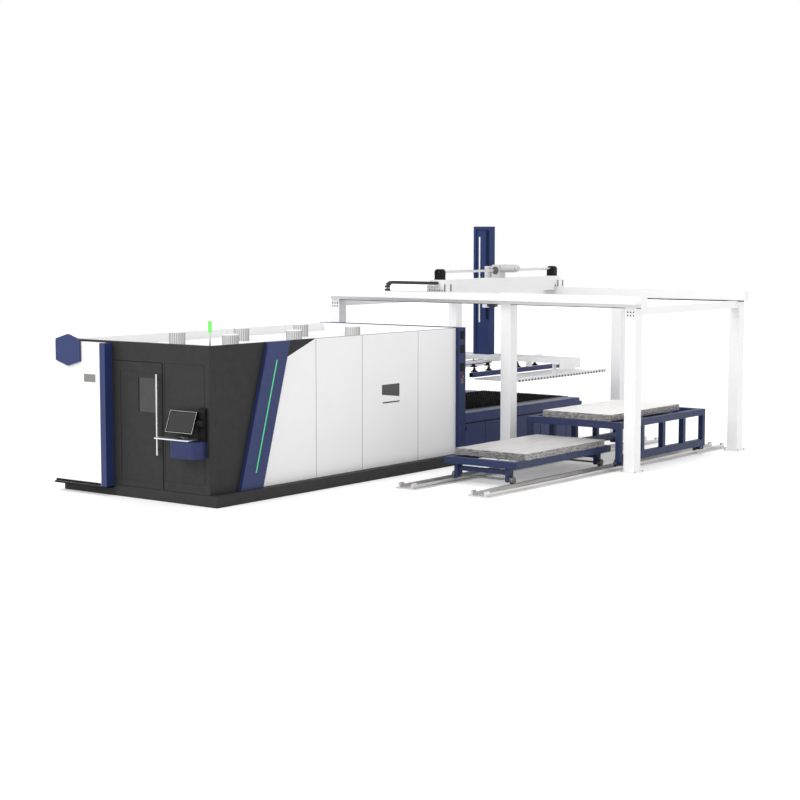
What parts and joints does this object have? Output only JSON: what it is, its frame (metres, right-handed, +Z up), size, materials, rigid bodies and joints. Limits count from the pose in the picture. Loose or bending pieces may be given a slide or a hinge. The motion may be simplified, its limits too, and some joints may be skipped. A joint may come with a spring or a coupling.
{
  "type": "sheet laser cutting machine",
  "caption": "Enclosed sheet laser cutter with a sliding door and console, a shuttle pallet table, a gantry loader with suction frame and fork combs, and sheet carts on floor rails.",
  "frame": {"origin": "middle of the cabin's plinth on the floor", "axes": "+Z up, -Y towards the operator's door, +Y along the shuttle table, +X towards the carts"},
  "size_m": [7.22, 12.19, 4.44],
  "materials": {
    "white_paint": "satin powder coat",
    "blue_paint": "satin powder coat",
    "dark_paint": "fine texture powder coat",
    "black_panel": "satin black",
    "grey_steel": "light grey paint",
    "rail_steel": "drawn and worn",
    "sheet_metal": "rolled sheet",
    "slat_steel": "blackened steel",
    "bright_steel": "brushed",
    "black_rubber": "matt",
    "dark_glass": "laser safety glazing",
    "green_lens": "lamp lens",
    "red_button": "moulded",
    "blue_button": "moulded"
  },
  "bodies": {
    "root": {"base_plinth": "dark_paint", "cabin_frame": "dark_paint", "front_frame": "dark_paint", "front_housing": "white_paint", "front_pillar": "blue_paint", "door_track": "black_rubber", "side_dark_panel": "black_panel", "side_band": "blue_paint", "side_panels": "white_paint", "side_window": "dark_glass", "left_panels": "white_paint", "roof": "white_paint", "roof_vents": "grey_steel", "lamp_pole": "bright_steel", "lamp_lens": "green_lens", "rear_portal": "blue_paint", "portal_screens": "black_panel", "console_pod": "blue_paint", "keyboard_tray": "bright_steel", "monitor": "bright_steel", "console_bracket": "black_panel", "machine_bed": "dark_paint", "shuttle_frame": "blue_paint", "gantry_posts": "white_paint", "gantry_girders": "white_paint", "tie_beams": "white_paint", "floor_rails": "rail_steel"},
    "door": {"front_door": "dark_paint", "door_window": "dark_glass", "door_handle": "bright_steel"},
    "cutting_beam": {"cutting_beam": "dark_paint"},
    "head_carriage": {"head_carriage": "dark_paint"},
    "cutting_head": {"cutting_head": "bright_steel"},
    "upper_pallet": {"upper_pallet": "slat_steel"},
    "lower_pallet": {"lower_pallet": "slat_steel"},
    "bridge": {"bridge": "white_paint", "shaft_covers": "black_panel", "drive_motor": "grey_steel", "chain_upper": "black_rubber"},
    "drive_shaft": {"drive_shaft": "bright_steel"},
    "chain": {"chain_loop": "black_rubber", "chain_lower": "black_rubber"},
    "mast": {"mast": "blue_paint", "mast_rack": "slat_steel", "suction_frame": "white_paint", "side_beams": "blue_paint", "suction_cups": "black_rubber"},
    "right_comb": {"right_comb": "grey_steel"},
    "left_comb": {"left_comb": "grey_steel"},
    "lower_cart": {"lower_cart": "blue_paint", "lower_stack": "sheet_metal"},
    "lower_front_wheels": {"lower_axle_front": "rail_steel"},
    "lower_rear_wheels": {"lower_axle_rear": "rail_steel"},
    "upper_cart": {"upper_cart": "blue_paint", "upper_stack": "sheet_metal"},
    "upper_front_wheels": {"upper_axle_front": "rail_steel"},
    "upper_rear_wheels": {"upper_axle_rear": "rail_steel"},
    "console_stop": {"console_stop": "red_button"},
    "console_start": {"console_start": "blue_button"},
    "portal_stop": {"portal_stop": "red_button"}
  },
  "joints": [
    {"name": "door_slide", "type": "slide", "parent": "root", "child": "door", "axis": [-1, 0, 0], "range_m": [0, 1]},
    {"name": "beam_travel", "type": "slide", "parent": "root", "child": "cutting_beam", "axis": [0, 1, 0], "range_m": [-0.5, 4.2]},
    {"name": "carriage_travel", "type": "slide", "parent": "cutting_beam", "child": "head_carriage", "axis": [1, 0, 0], "range_m": [-0.9, 0.9]},
    {"name": "head_lift", "type": "slide", "parent": "head_carriage", "child": "cutting_head", "axis": [0, 0, 1], "range_m": [-0.1, 0.05]},
    {"name": "pallet_exchange", "type": "slide", "parent": "root", "child": "upper_pallet", "axis": [0, 1, 0], "range_m": [-5, 0]},
    {"name": "lower_pallet_slide", "type": "slide", "parent": "root", "child": "lower_pallet", "axis": [0, 1, 0], "range_m": [0, 5]},
    {"name": "bridge_travel", "type": "slide", "parent": "root", "child": "bridge", "axis": [1, 0, 0], "range_m": [0, 3.4975]},
    {"name": "shaft_spin", "type": "hinge", "parent": "bridge", "child": "drive_shaft", "pos_m": [0.5325, 6.3215, 3.555], "axis": [0, 1, 0], "continuous": true},
    {"name": "chain_travel", "type": "slide", "parent": "root", "child": "chain", "axis": [1, 0, 0], "range_m": [0, 1.75]},
    {"name": "mast_lift", "type": "slide", "parent": "bridge", "child": "mast", "axis": [0, 0, 1], "range_m": [-0.38, 0.45]},
    {"name": "right_comb_slide", "type": "slide", "parent": "mast", "child": "right_comb", "axis": [-1, 0, 0], "range_m": [0, 0.93]},
    {"name": "left_comb_slide", "type": "slide", "parent": "mast", "child": "left_comb", "axis": [1, 0, 0], "range_m": [0, 0.93]},
    {"name": "lower_cart_travel", "type": "slide", "parent": "root", "child": "lower_cart", "axis": [0, 1, 0], "range_m": [0, 2.85]},
    {"name": "lower_front_spin", "type": "hinge", "parent": "lower_cart", "child": "lower_front_wheels", "pos_m": [3.61, 1.36, 0.1323], "axis": [-1, 0, 0], "continuous": true},
    {"name": "lower_rear_spin", "type": "hinge", "parent": "lower_cart", "child": "lower_rear_wheels", "pos_m": [3.61, 4.24, 0.1323], "axis": [-1, 0, 0], "continuous": true},
    {"name": "upper_cart_travel", "type": "slide", "parent": "root", "child": "upper_cart", "axis": [0, 1, 0], "range_m": [-2.85, 0]},
    {"name": "upper_front_spin", "type": "hinge", "parent": "upper_cart", "child": "upper_front_wheels", "pos_m": [3.61, 4.37, 0.1323], "axis": [-1, 0, 0], "continuous": true},
    {"name": "upper_rear_spin", "type": "hinge", "parent": "upper_cart", "child": "upper_rear_wheels", "pos_m": [3.61, 7.4, 0.1323], "axis": [-1, 0, 0], "continuous": true},
    {"name": "console_stop_press", "type": "slide", "parent": "root", "child": "console_stop", "axis": [0, 0, -1], "range_m": [0, 0.005], "stiffness_N_per_m": 400},
    {"name": "console_start_press", "type": "slide", "parent": "root", "child": "console_start", "axis": [0, 0, -1], "range_m": [0, 0.005], "stiffness_N_per_m": 400},
    {"name": "portal_stop_press", "type": "slide", "parent": "root", "child": "portal_stop", "axis": [-1, 0, 0], "range_m": [0, 0.005], "stiffness_N_per_m": 400}
  ],
  "couplings": [
    {"joint": "lower_pallet_slide", "follows": "pallet_exchange", "ratio": -1},
    {"joint": "shaft_spin", "follows": "bridge_travel", "rad_per_m": 16.667},
    {"joint": "chain_travel", "follows": "bridge_travel", "ratio": 0.5},
    {"joint": "left_comb_slide", "follows": "right_comb_slide", "ratio": 1},
    {"joint": "lower_front_spin", "follows": "lower_cart_travel", "rad_per_m": 16.129},
    {"joint": "lower_rear_spin", "follows": "lower_cart_travel", "rad_per_m": 16.129},
    {"joint": "upper_front_spin", "follows": "upper_cart_travel", "rad_per_m": 16.129},
    {"joint": "upper_rear_spin", "follows": "upper_cart_travel", "rad_per_m": 16.129}
  ]
}
